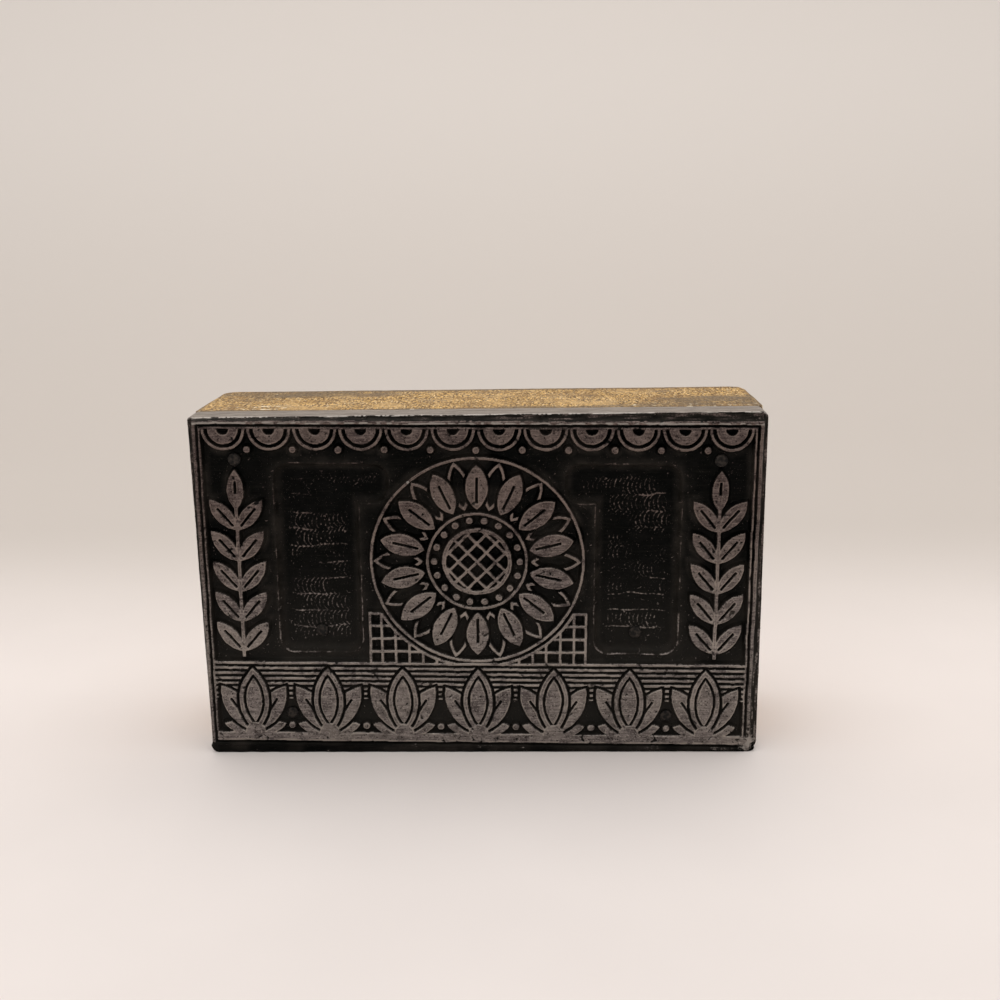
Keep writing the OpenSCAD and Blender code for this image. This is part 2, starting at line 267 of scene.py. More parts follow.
def scallop_row(u, v):
    """Two half rings hung from the inner rule at each place, and a pearl between each two."""
    x, y = row_of(u, SCALLOP_PITCH, SCALLOPS), v - INNER_V
    rings = union(
        ring(x, y, SCALLOP_R, LINE_W),
        ring(x, y, SCALLOP_R - LINE_W - 1.2 * BEHIND_GAP, 0.44 * SCALLOP_R),
    )
    pearls = disc(row_of(u, SCALLOP_PITCH, SCALLOPS - 1), v - SCALLOP_V - PEARL_R / 4, PEARL_R)
    return union(shared(rings, y - INNER_RULE / 2), pearls)


def rosette(u, v):
    """A latticed heart, a ring of beads, whole petals and outlined petals behind them, in a ring."""
    y = v - ROSETTE_V
    heart = shared(lattice((u + y) / math.sqrt(2), (y - u) / math.sqrt(2), HEART_PITCH), disc(u, y, HEART_R))
    bead_x, bead_y = round_about(u, y, BEADS, math.pi / 2 + math.pi / BEADS)
    root = BEAD_RING_R + BEHIND_GAP
    px, py = round_about(u, y, PETALS, math.pi / 2)
    bx, by = round_about(u, y, PETALS, math.pi / 2 + math.pi / PETALS)
    behind = cut(
        leaf(bx - root, by, BACK_PETAL_L, BACK_PETAL_W),
        leaf(bx - root, by, BACK_PETAL_L, BACK_PETAL_W, -LINE_W),
        leaf(px - root, py, PETAL_L, PETAL_W, BEHIND_GAP),
    )
    return union(
        ring(u, y, ROSETTE_R, LINE_W),
        ring(u, y, BEAD_RING_R, LINE_W),
        ring(u, y, HEART_R, HEART_RING),
        heart,
        disc(bead_x - BEAD_CIRCLE_R, bead_y, BEAD_R),
        veined_leaf(px - root, py, PETAL_L, PETAL_W),
        behind,
    )


def lattice_panels(u, v):
    """An outlined lattice on both sides of the rosette's foot, cut back along the rosette."""
    panel_u, y = ROSETTE_R + PANEL_REACH, v - BAND_TOP_V - PANEL_H / 2
    drawn = union(
        lattice(u, y, PANEL_PITCH),
        -box(u, y, panel_u - LINE_W, PANEL_H / 2 - LINE_W / 2),
        ring(u, v - ROSETTE_V, ROSETTE_R + BEHIND_GAP + LINE_W, LINE_W),
    )
    panel = shared(drawn, box(u, y, panel_u, (PANEL_H + LINE_W) / 2))
    return cut(panel, disc(u, v - ROSETTE_V, ROSETTE_R + BEHIND_GAP))


def tulip_border(u, v):
    """Tulips on a solid bar, with beads between them and a ruled tint behind."""
    x, y = row_of(u, TULIP_PITCH, TULIPS), v - ROOT_V
    side = from_upright(x, y, SIDE_PETAL_ANGLE)
    low = from_upright(x, y, LOW_LEAF_ANGLE)
    middle = leaf(y, x, TULIP_L, TULIP_W)
    dark_line = cut(
        leaf(y, x, TULIP_L, TULIP_W, -1.6 * LINE_W),
        leaf(y, x, TULIP_L, TULIP_W, -1.6 * LINE_W - VEIN_W),
    )
    side_leaf = leaf(*side, SIDE_PETAL_L, SIDE_PETAL_W)
    tulip = union(
        shared(disc(x, y, ROOT_R), -y - BASE_BAR_H / 2),
        cut(middle, dark_line),
        cut(veined_leaf(*side, SIDE_PETAL_L, SIDE_PETAL_W), middle - BEHIND_GAP),
        cut(leaf(*low, LOW_LEAF_L, LOW_LEAF_W), side_leaf - BEHIND_GAP),
    )
    below = BAND_TOP_V - v
    tint_area = np.abs(below - (TINT_H + TINT_PITCH) / 2) - (TINT_H - TINT_PITCH) / 2 - LINE_W
    tint = cut(shared(lines(below, TINT_PITCH), tint_area), middle - BEHIND_GAP, side_leaf - BEHIND_GAP)
    top_line = np.abs(below) - LINE_W / 2
    base_bar = v + INNER_V - BASE_BAR_H
    beads = disc(row_of(u, TULIP_PITCH, TULIPS - 1), v - LOW_BEAD_V, BEAD_R)
    inside = box(u, v + INNER_V / 2, INNER_U + INNER_RULE / 2, INNER_V / 2 + INNER_RULE / 2)
    return shared(union(tulip, tint, top_line, base_bar, beads), inside)


def sprigs(u, v):
    """A stem with pairs of veined leaves and one at its tip, on each side."""
    x = np.abs(u) - STEM_U
    stem_h = STEM_TOP_V + LEAF_W - SPRIG_FOOT_V
    pairs = (
        veined_leaf(*from_upright(x, v - FIRST_LEAF_V - k * LEAF_STEP, LEAF_ANGLE), LEAF_L, LEAF_W)
        for k in range(LEAF_PAIRS)
    )
    return union(
        box(x, v - SPRIG_FOOT_V - stem_h / 2, STEM_W / 2, stem_h / 2),
        veined_leaf(v - STEM_TOP_V, x, LEAF_L, LEAF_W),
        *pairs,
    )


def design(u, v):
    """The whole printing surface."""
    shapes = border_rules, scallop_row, rosette, lattice_panels, tulip_border, sprigs
    return union(*(shape(u, v) for shape in shapes))


def routed_box(x, y, low_x, low_y, high_x, high_y):
    """A rectangle from corner to corner, with the cutter's radius at its corners."""
    half_w, half_h = (high_x - low_x) / 2, (high_y - low_y) / 2
    x, y = x - low_x - half_w, y - low_y - half_h
    return box(x, y, half_w - CUTTER_R, half_h - CUTTER_R) - CUTTER_R


def pools(u, v):
    """The two places routed away where nothing prints."""
    u = np.abs(u)
    return union(
        routed_box(u, v, POOL_IN_U, POOL_LOW_V, POOL_OUT_U, POOL_HIGH_V),
        routed_box(u, v, POOL_IN_U - SHOULDER_REACH, POOL_HIGH_V - SHOULDER_H, POOL_OUT_U, POOL_HIGH_V),
    )


def in_design(x, z):
    """u and v of a point on the plate."""
    x, z = x - DESIGN_X, z - DESIGN_Z
    return x * TILT_COS - z * TILT_SIN, x * TILT_SIN + z * TILT_COS


def on_plate(u, v):
    """x and z of a point of the design."""
    return DESIGN_X + u * TILT_COS + v * TILT_SIN, DESIGN_Z - u * TILT_SIN + v * TILT_COS


def router_marks(u, v, inside):
    """How much the router's passes raise a pool's floor, and how much of that is light: metal rubbed bare,
    with a painted glint on it. The marks are a thin ragged ridge between rows, and crescents in each row
    where the cutter stepped along it. inside is the distance in from the pool's edge."""
    row_h, crescent_step = 2.5, 0.62
    sway = 0.35 * noise(u, 0, 0, 6.0, 21) + 0.3 * noise(u, v, 0, 2.2, 25)
    row = (v + sway) / row_h
    across = (row - np.round(row)) * row_h
    ridge = np.exp(-((np.abs(across) - row_h / 2) ** 2) / 0.012)
    beads = smooth(noise(u + 0.6 * v, v - 0.6 * u, 0, 0.3, 22) * 1.5 + 0.5)
    arc = u + np.sqrt(np.maximum((0.62 * row_h) ** 2 - across**2, 0.0))
    crescents = (0.5 + 0.5 * np.cos(2 * math.pi * arc / crescent_step)) ** 3
    patches = smooth(noise(u / 2, v, 0, 2.4, 23) * 1.9 + 0.4)
    here = smooth(inside / 1.3 - 0.9)
    long_runs = smooth(noise(u / 3, np.floor(row), 0, 1.7, 24) * 1.8 + 0.45)
    rows = ridge * (0.55 + 0.45 * beads) * long_runs * here
    marks = crescents * patches * (0.4 + 0.6 * beads) * here
    return 0.09 * rows + 0.06 * marks, rows * 0.62 + marks * 0.5


def plate_depth(x, z):
    """How far the plate's front lies below the printing plane, and four masks from 0 to 1: where the metal is
    rubbed bare of ink, with painted glints and highlights on the router's ridges and the pools' burrs; where
    it is bright, partly fresh metal and partly painted highlight; where the ink is thin; and the planed rim.

    The relief falls from its edge by a steep curve that flattens into the floor, and a pool falls the same
    way from its own edge. Worn edges, dents, crumbs of old ink, burrs and the router's marks are added to it.
    """
    hills = partial(noise, x, z, 0)
    slanted = partial(noise, x + 0.6 * z, z - 0.6 * x, 0)
    wobble_u = 0.036 * hills(0.55, 1) + 0.05 * hills(3.0, 2)
    wobble_v = 0.036 * hills(0.55, 3) + 0.05 * hills(3.0, 4)
    u, v = in_design(x + wobble_u, z + wobble_v)
    edge = design(u, v)
    shoulder_w, shoulder_curve, arris_w = 0.36, 1.7, 0.34
    fall = np.clip((edge + 0.02) / shoulder_w, 0, 1)
    depth = RELIEF_DEPTH * (1 - (1 - fall) ** shoulder_curve)
    arris = smooth(1 + edge / arris_w) * (edge < 0)
    depth += 0.022 * arris
    low = smooth((edge - 0.15) / 0.3)

    # The floor: slow waves, fine tooth and crumbs
    floor = 0.07 * hills(2.6, 5) + 0.05 * hills(0.9, 6)
    crumbs = smooth((slanted(0.3, 7) - 0.7) / 0.2)
    depth += low * (0.04 + floor - 0.14 * crumbs)

    # The pools, with a burr along their edges that the router threw up
    pool = pools(u, v)
    pool_wall, wall_curve = 1.15, 2.2
    sink = np.clip(-pool / pool_wall, 0, 1)
    marks, glint = router_marks(u, v, -pool)
    depth += (POOL_DEPTH - RELIEF_DEPTH) * (1 - (1 - sink) ** wall_curve) - marks
    lower = smooth((6 - v) / 16)
    burr = np.exp(-((pool - 0.05) ** 2) / 0.015) * smooth(hills(2.6, 8) * 1.4 + 0.5 + 0.5 * lower) * low
    depth -= 0.15 * burr

    # A dished seat round each brad's head
    for seat_u, seat_v, seat in BRAD_SEATS:
        near = disc(u - seat_u, v - seat_v, BRAD_HEAD_R + WELL_CLEARANCE)
        depth += (seat + 0.01 - depth) * smooth(0.5 - near / 0.3)

    # Dents and short scratches on the printing surface
    top = smooth((0.12 - edge) / 0.12)
    dents = smooth((slanted(0.9, 9) - 0.72) / 0.2)
    depth += top * (0.10 * dents + 0.006 * hills(0.4, 10) + 0.008)

    # The plate's own rim: rounded off and burred, but left flat along its foot
    rim = -box(x, z - FACE_H / 2, FACE_W / 2, FACE_H / 2)
    rim_burr = np.exp(-((rim - 0.12) ** 2) / 0.008) * (0.6 + 0.4 * hills(1.3, 11))
    # above_foot also fades the masks out between 1.2 mm and 0.6 mm above the foot, so the foot stays black:
    # partly ink, partly painted contact shadow
    above_foot = smooth(z / 1.2 - 0.5)
    depth += (0.16 * smooth(1 - rim / 0.16) - 0.1 * rim_burr) * above_foot

    # Old ink and lead fill the margin under the bottom rule nearly up to the printing plane
    filled = smooth((0.05 - v - DESIGN_H / 2) / 0.1)
    depth += filled * np.minimum(0.25 + 0.05 * hills(1.5, 38) - depth, 0)

    # The lower right corner is bruised: the metal is pushed up in a lump there
    lump_x, lump_z = SHELL_HIGH[0] - 1.6, SHELL_LOW[2] + 1.45
    lump = smooth(1.35 - np.hypot((x - lump_x) / 1.45, (z - lump_z) / 1.35) + 0.3 * hills(0.5, 12))
    depth += lump * (0.32 + 0.24 * slanted(0.7, 13) - depth)

    # What the rag left dark: the rules along the head, and the left and low right margins. The foot rule is
    # dark too, partly with ink and partly as painted contact shadow along the foot
    worn = 0.5 + 0.5 * hills(2.4, 14)
    left_margin = smooth((2.2 - x - FACE_W / 2) / 0.6)
    low_right = smooth((2.4 + x - FACE_W / 2) / 0.6) * smooth((22 - z) / 8)
    # Partly painted contact shadow: the rule along the foot is kept dark
    foot_rule = smooth((OUTER_RULE / 2 + 0.1 - np.abs(v + DESIGN_H / 2 - OUTER_RULE / 2)) / 0.1)
    head_rules = smooth((INNER_RULE / 2 + 0.1 - np.abs(v - INNER_V - INNER_RULE / 2)) / 0.1)
    head_rules = np.maximum(head_rules, 0.8 * smooth((v - DESIGN_H / 2 + 0.26) / 0.1))
    ink_and_foot_shade = np.maximum.reduce([
        foot_rule * (0.95 - 0.5 * smooth(2.2 * noise(x, 0, 0, 5.0, 37) - 0.4)),
        head_rules * (0.42 + 0.2 * noise(x, 0, 0, 4.0, 26)),
        0.3 * left_margin + 0.42 * low_right,
    ])

    # Rubbed bare: the tops, most along their arrises, and the crumbs and bruise. The pools' burrs, lighter
    # low down, and the router's ridges are partly rubbed metal and partly painted highlight and glint
    rubbed = smooth((0.14 - depth) / 0.10) * (0.62 + 0.16 * worn) * (1 - ink_and_foot_shade)
    rubbed += 0.36 * arris * smooth(hills(1.1, 19) + 0.9) * (1 - ink_and_foot_shade)
    rubbed = np.maximum.reduce([
        rubbed,
        # Partly painted highlight: the pools' burrs, lighter towards the foot
        burr * (0.46 + 0.3 * lower) * smooth(hills(0.7, 15) + 0.8),
        0.42 * low * crumbs,
        # Partly painted glint: the router's ridges and crescents
        glint,
        lump * (0.75 + 0.35 * slanted(0.6, 27)),
    ])

    # Bright metal, partly fresh and partly painted highlight: the burr along the rim, brightest along the
    # head as painted highlight, a painted highlight along the head's outer rule, the bruise, partly painted
    # highlight, and a few fresh nicks
    upper = smooth((z - FACE_H + 0.5) / 0.3)
    ragged = smooth(0.9 * hills(0.3, 28) + 0.6 * hills(3.0, 29) + 0.4)
    burr_w = 0.004 + 0.02 * ragged
    bright = (0.3 + 0.6 * upper) * (0.45 + 0.55 * ragged) * np.exp(-((rim - 0.06) ** 2) / burr_w) * above_foot
    bright *= 1 - 0.35 * smooth((x + 5) / 35) + 0.35 * smooth((x - 34) / 4)
    # Painted highlight: a bright line along the head's outer rule
    rule_highlight = smooth((0.24 - np.abs(v - DESIGN_H / 2 + 0.34)) / 0.12) * (edge < 0)
    bright = np.maximum.reduce([
        bright,
        0.8 * rule_highlight * smooth(0.8 * hills(0.5, 36) + 0.85),
        lump * smooth(slanted(0.8, 16) * 1.6 + 0.35),
        0.8 * top * smooth((noise(x / 2.5, z, 0, 0.35, 39) - 0.9) / 0.06) * smooth(2 * hills(7.0, 40) - 0.2),
    ])

    # The rim's sides are planed metal, inky at the foot
    planed = smooth(1 - rim / 0.1) * smooth(z / 5 - 0.1)

    # The ink is thin down the pools' walls, along their edges, at the foot of the relief and, in strokes, on
    # the margin outside the rules
    streaky = 0.65 + 0.35 * hills(1.7, 30)
    by_pools = smooth(1 + pool / 1.5) * np.exp(-np.maximum(pool, 0) / 0.7) * streaky
    by_relief = 0.7 * smooth(1 - (edge - 0.2) / 1.1) * smooth(hills(2.8, 33) + 0.4)
    beside = np.abs(x) / FACE_W > np.abs(z - FACE_H / 2) / FACE_H
    strokes = np.where(beside, noise(x, z / 9, 0, 0.2, 34), noise(x / 9, z, 0, 0.2, 35))
    margin = smooth(box(u, v, DESIGN_W / 2, DESIGN_H / 2) / 0.25)
    in_margins = margin * smooth(0.75 + 0.6 * strokes) * above_foot
    thin = np.maximum.reduce([by_pools, by_relief, in_margins, 0.8 * left_margin * streaky * above_foot])
    margin_wear = 0.34 + 0.12 * smooth(x / 10)
    rubbed = np.maximum(rubbed, margin_wear * margin * smooth(0.3 + 1.4 * strokes) * above_foot)
    depth = np.clip(depth, 0.0, POOL_DEPTH + PLATE_SPLIT / 2)
    bright, thin = np.clip(bright, 0, 1), np.clip(thin, 0, 1)
    return depth, {"rubbed": rubbed, "bright": bright, "thin": thin, "planed": planed}


def quarter_disc(a, b):
    """By how much points with a and b above 0 are drawn towards the centre, so that the square from 0 to 1
    becomes a quarter disc: the larger of the two over their hypotenuse. It is 1 elsewhere."""
    return np.where((a > 0) & (b > 0), np.maximum(a, b) / np.maximum(np.hypot(a, b), 1e-9), 1)


def round_corners(x, y, middle, half, radii):
    """Rounds a rectangle's corners: the square of side r at each becomes a quarter disc. radii has them by
    the corner's signs along both axes."""
    for (side_x, side_y), r in radii.items():
        a = ((x - middle[0]) * side_x - half[0] + r) / r
        b = ((y - middle[1]) * side_y - half[1] + r) / r
        scale = quarter_disc(a, b)
        x = np.where(scale < 1, middle[0] + side_x * (half[0] - r + r * a * scale), x)
        y = np.where(scale < 1, middle[1] + side_y * (half[1] - r + r * b * scale), y)
    return x, y


def wear_rim(x, y, z):
    """The plate's points with its four corners rounded, each by its own wear, and its sides and head pulled
    in by up to 0.06 mm, so that no edge is dead straight. Its foot stays down on what it stands on."""
    x, z = round_corners(x, z, (0, FACE_H / 2), (FACE_W / 2, FACE_H / 2), PLATE_CORNERS)
    reach, sway, foot_lift = 1.2, 0.03, 0.006
    side = smooth((np.abs(x) - FACE_W / 2 + reach) / reach)
    head = smooth((z - FACE_H + reach) / reach)
    x = x - np.sign(x) * side * sway * (1 + noise(x, y, z, 4.0, 17))
    z = z - head * sway * (1 + noise(x, y, z, 4.0, 18))
    return np.stack([x, y, z + foot_lift * smooth(1 - z / reach)], -1)


def unit(vectors):
    """The same directions with a length of 1."""
    return vectors / np.maximum(np.linalg.norm(vectors, axis=-1, keepdims=True), 1e-12)


def normals_of(points, quads):
    """Each point's normal: the mean of those of the quads that meet there."""
    a, b, c, d = (points[quads[:, k]] for k in range(4))
    across = np.cross(c - a, d - b)
    total = np.zeros_like(points)
    for k in range(4):
        np.add.at(total, quads[:, k], across)
    return unit(total)


def new_object(name, data):
    made = bpy.data.objects.new(name, data)
    bpy.context.collection.objects.link(made)
    return made


def new_surface(name, points, faces, material):
    """A smooth mesh from its points in millimetres and its faces: arrays with the numbers of a face's points
    in each row."""
    corners = np.concatenate([rows.ravel() for rows in faces]).astype(np.int32)
    sizes = np.concatenate([np.full(len(rows), rows.shape[1]) for rows in faces])
    mesh = bpy.data.meshes.new(name)
    mesh.vertices.add(len(points))
    mesh.vertices.foreach_set("co", (np.asarray(points) * MM).astype(np.float32).ravel())
    mesh.loops.add(len(corners))
    mesh.loops.foreach_set("vertex_index", corners)
    mesh.polygons.add(len(sizes))
    mesh.polygons.foreach_set("loop_start", (np.cumsum(sizes) - sizes).astype(np.int32))
    mesh.update(calc_edges=True)
    mesh.polygons.foreach_set("use_smooth", np.ones(len(sizes), bool))
    mesh.materials.append(material)
    return new_object(name, mesh)


def make_piece(name, points, faces, material, node):
    """A surface that stands in for a solid of the block. Its mesh is given back."""
    piece = new_surface(name, points, faces, material)
    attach(piece, "root")
    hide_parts(node)
    return piece.data


def grid_quads(ids):
    """The quads of a grid of point numbers. They face the way of the first axis crossed with the second."""
    return np.stack([ids[:-1, :-1], ids[1:, :-1], ids[1:, 1:], ids[:-1, 1:]], -1).reshape(-1, 4)


def add_value(mesh, name, values):
    """Keeps a number from 0 to 1 at each point, for the material to read."""
    mesh.attributes.new(name, "FLOAT", "POINT").data.foreach_set("value", values.astype(np.float32))


def plate_strip(number, place, normal, masks, material):
    """One upright strip of the plate as a closed solid: its part of the front grid, a wall round its border
    and a flat back. place and normal are arrays of columns, rows and x, y, z."""
    columns, rows = place.shape[:2]
    front = np.arange(columns * rows).reshape(columns, rows)
    border = np.concatenate([front[:-1, 0], front[-1, :-1], front[:0:-1, -1], front[0, :0:-1]])
    outward = np.repeat([[0, -1], [1, 0], [0, 1], [-1, 0]], [columns - 1, rows - 1] * 2, axis=0)
    behind = front.size + np.arange(len(border))
    back = behind + len(border)
    place, normal = place.reshape(-1, 3), normal.reshape(-1, 3)
    back_place = place[border] * [1, 0, 1] + [0, PLATE_BACK_Y, 0]
    near_front = 0.12
    behind_place = (1 - near_front) * place[border] + near_front * back_place
    points = np.concatenate([place, behind_place, back_place])
    quads = grid_quads(front)
    rings = np.stack([border, behind, back])
    following = np.roll(rings, -1, axis=1)
    walls = np.stack([rings[:-1], rings[1:], following[1:], following[:-1]], -1).reshape(-1, 4)
    faces = [quads, walls, back[None, ::-1]]
    mesh = make_piece(f"face_shell_{number}", points, faces, material, "face_shell")
    for name, values in masks.items():
        behind_values = values.ravel()[border] * (name == "planed")
        add_value(mesh, name, np.concatenate([values.ravel(), behind_values, behind_values]))

    # Normals from the whole plate's grid, so that no seam shows between strips
    a, b, c, d = (points[walls[:, k]] for k in range(4))
    wall_normal = np.repeat(unit(np.cross(c - a, d - b)), 4, axis=0)
    back_normal = np.tile([0.0, 1.0, 0.0], (len(back), 1))
    mesh.normals_split_custom_set(np.concatenate([normal[quads.ravel()], wall_normal, back_normal]))

    # The map for baked pictures: the front laid flat, the walls folded out round it, the back small beside it
    back_share, fold = 0.08, PLATE_BACK_Y - PRINTING_Y
    low, high = place.min(0)[[0, 2]], place.max(0)[[0, 2]]
    flat = points[:, [0, 2]] - low + fold
    flat[behind] += outward * fold * 0.1
    flat[back] += outward * fold * 0.9
    corners = np.concatenate([rows.ravel() for rows in faces])
    spots = (flat / (high - low + 2 * fold) * [1 - back_share, 1])[corners]
    small = (back_place[::-1][:, [0, 2]] - low) / (high - low) * [back_share * 0.8, 0.9]
    spots[-len(back):] = small + [1 - back_share * 0.9, 0.05]
    layer = mesh.uv_layers.new(name="OFBake")
    layer.uv.foreach_set("vector", spots.astype(np.float32).ravel())


def face_plate(material):
    """The printing plate's front as strips of one grid over the whole plate."""
    columns = np.linspace(-FACE_W / 2, FACE_W / 2, STRIPS * STRIP_COLUMNS + 1)
    rows = np.linspace(0, FACE_H, PLATE_ROWS + 1)
    x, z = np.meshgrid(columns, rows, indexing="ij")
    depth, masks = plate_depth(x, z)
    place = wear_rim(x, PRINTING_Y + depth, z)
    normal = unit(np.cross(np.gradient(place, axis=0), np.gradient(place, axis=1)))
    for k in range(STRIPS):
        part = slice(k * STRIP_COLUMNS, (k + 1) * STRIP_COLUMNS + 1)
        here = {name: values[part] for name, values in masks.items()}
        plate_strip(k + 1, place[part], normal[part], here, material)


def lines_along(low, high, step, fine):
    """Grid lines from low to high: fine ones at both ends, where the edges are rounded, and step between."""
    near = np.array(fine)
    inner = np.linspace(low + fine[-1], high - fine[-1], max(2, int((high - low) / step)))
    return np.concatenate([low + near[:-1], inner, (high - near[:-1])[::-1]])


def slab_grid(low, high, steps, fine):
    """The surface of a box as one closed grid: the quads of its six faces, which share the edges' points."""
    xs, ys, zs = (lines_along(*ends, fine) for ends in zip(low, high, steps))
    shape = (len(xs), len(ys), len(zs))
    ids = np.arange(np.prod(shape)).reshape(shape)
    faces = [ids[-1], ids[0].T, ids[:, -1].T, ids[:, 0], ids[:, :, -1], ids[:, :, 0].T]
    quads = np.concatenate([grid_quads(face) for face in faces])
    used, quads = np.unique(quads, return_inverse=True)
    i, j, k = np.unravel_index(used, shape)
    return np.stack([xs[i], ys[j], zs[k]], -1), quads.reshape(-1, 4)


def round_slab(points, low, high, front_r, back_r, edge_r):
    """Rounds a slab's edges: the square beyond each edge's centre line becomes a quarter disc. The upright
    edges get front_r towards -Y and back_r towards +Y, and the level ones edge_r, an array or a number."""
    x, y, z = points.T.copy()
    middle, half = (low + high) / 2, (high - low) / 2
    radii = {(side, end): r for side in (-1, 1) for end, r in ((-1, front_r), (1, back_r))}
    x, y = round_corners(x, y, middle, half, radii)
    r = np.where(y > middle[1], back_r, front_r)
    dx = np.abs(x - middle[0]) - half[0] + r
    dy = np.abs(y - middle[1]) - half[1] + r
    corner = (dx > 0) & (dy > 0)
    reach = np.maximum(np.hypot(dx, dy), 1e-9)
    inset = np.where(corner, r - reach, r - np.maximum(dx, dy))
    out_x = np.where(corner, dx / reach, dx >= dy) * np.sign(x - middle[0])
    out_y = np.where(corner, dy / reach, dx < dy) * np.sign(y - middle[1])
    down = np.minimum(z - low[2], high[2] - z)
    a, b = 1 - inset / edge_r, 1 - down / edge_r
    scale = quarter_disc(a, b)
    inward = np.where(scale < 1, edge_r * (1 - a * scale) - inset, 0)
    lower = np.where(scale < 1, edge_r * (1 - b * scale) - down, 0)
    x, y = x - out_x * inward, y - out_y * inward
    z = z - np.sign(z - middle[2]) * lower
    return np.stack([x, y, z], -1)


def backing_slab(material):
    """The cast backing: a planed slab behind the face, with its corners worn as the face's are."""
    low, high = BACKING_LOW.copy(), BACKING_HIGH
    low[1] = PLATE_BACK_Y
    points, quads = slab_grid(low, high, (0.5, 0.22, 0.5), (0.0, 0.03, 0.07, 0.12, 0.2))
    edge_r = 0.10 + 0.05 * noise(*points.T, 1.5, 31)
    back = smooth((points[:, 1] - low[1]) / (high[1] - low[1]) * 4 - 2.5)
    points = wear_rim(*round_slab(points, low, high, 0.02, 0.12, 0.015 + edge_r * back).T)
    x, y, z = points.T
    ripple = 0.5 + 0.5 * noise(x / 30, y, z / 30, 0.3, 32)
    points -= normals_of(points, quads) * (0.018 * ripple)[:, None] * back[:, None]
    make_piece("backing_metal_cast", points, [quads], material, "backing_metal")


def wood_mount(material):
    """The mount: a sawn block with worn edges, faint saw waves on its faces and knocks along its edges."""
    low, high = WOOD_LOW, WOOD_HIGH
    points, quads = slab_grid(low, high, (0.5, 0.5, 0.5), (0.0, 0.05, 0.12, 0.22, 0.35, 0.55))
    x, y, z = points.T
    knocks = smooth((noise(x, y, z, 2.5, 41) - 0.35) / 0.5)
    towards_foot = smooth((y - low[1]) / (high[1] - low[1]) * 2 - 0.6)
    edge_r = 0.14 + towards_foot * (0.28 + 0.12 * noise(x, y, z, 5.0, 42) + 0.35 * knocks)
    points = round_slab(points, low, high, 0.15, MOUNT_CORNER_R, edge_r)
    x, y, z = points.T
    waves = 0.5 + 0.5 * np.sin(2 * math.pi * (x + 0.15 * z) / 2.7 + noise(x, y, z, 6.0, 43))
    rough = 0.5 + 0.5 * noise(x, y, z / 4, 0.9, 44)
    slow = 0.5 + 0.5 * noise(x, y, z, 9.0, 45)
    inward = 0.012 * waves + 0.02 * rough + 0.05 * slow
    points = points - normals_of(points, quads) * inward[:, None]
    mesh = make_piece("wood_mount", points, [quads], material, "wood_block")

    # Grime from hands and ink: in the edges, widest where wood meets metal, in patches at the top's left back
    # and right front, and in smudges
    x, y, z = points.T
    middle, half = (low + high) / 2, (high - low) / 2
    gaps = np.abs(half - np.abs(points - middle))
    edges = 0.75 * smooth(1 - np.sort(gaps, axis=1)[:, 1] / 0.9)
    on_top = smooth((z - high[2] + 1.2) / 1.0)
    front_edge = 0.8 * smooth(1.2 - (y - low[1]) / (0.9 + 2.0 * smooth(x / 40 + 0.4))) * on_top
    back_edge = 0.9 * smooth(1.8 - (high[1] - y) / 1.3) * on_top
    left_back = smooth(1.5 - np.hypot((x + 31) / 16, (y - 9) / 6))
    right_front = smooth(1.5 - np.hypot((x - 36) / 14, (y + 3) / 6))
    near_top = smooth((z - high[2] + 7) / 6)
    patches = np.maximum(left_back, right_front) * near_top * (0.75 + 0.35 * noise(x, y, z, 3.0, 46))
    smudges = 0.4 * smooth(noise(x, y, z, 9.0, 47) * 1.6 + 0.9 * noise(x, y, z, 1.8, 48) - 0.4)
    grime = np.maximum.reduce([edges, front_edge, back_edge, patches, smudges])
    add_value(mesh, "grime", np.clip(grime, 0, 1))

    # The top is chipped in places along its front edge, and in a cluster near the left end of it
    chipped = smooth(1.4 - (y - low[1]) / 2.5) * smooth(2.0 * noise(x, 0, 0, 9.0, 49) + 0.2)
    left_chips = 1.4 * smooth(1.7 - np.hypot((x + 31.5) / 4, (y - low[1] - 2.6) / 1.7))
    add_value(mesh, "chipped", np.maximum(chipped, left_chips) * on_top)
    add_value(mesh, "end_grain", smooth((gaps[:, :2].min(1) - gaps[:, 2]) / 0.4 + 0.5))


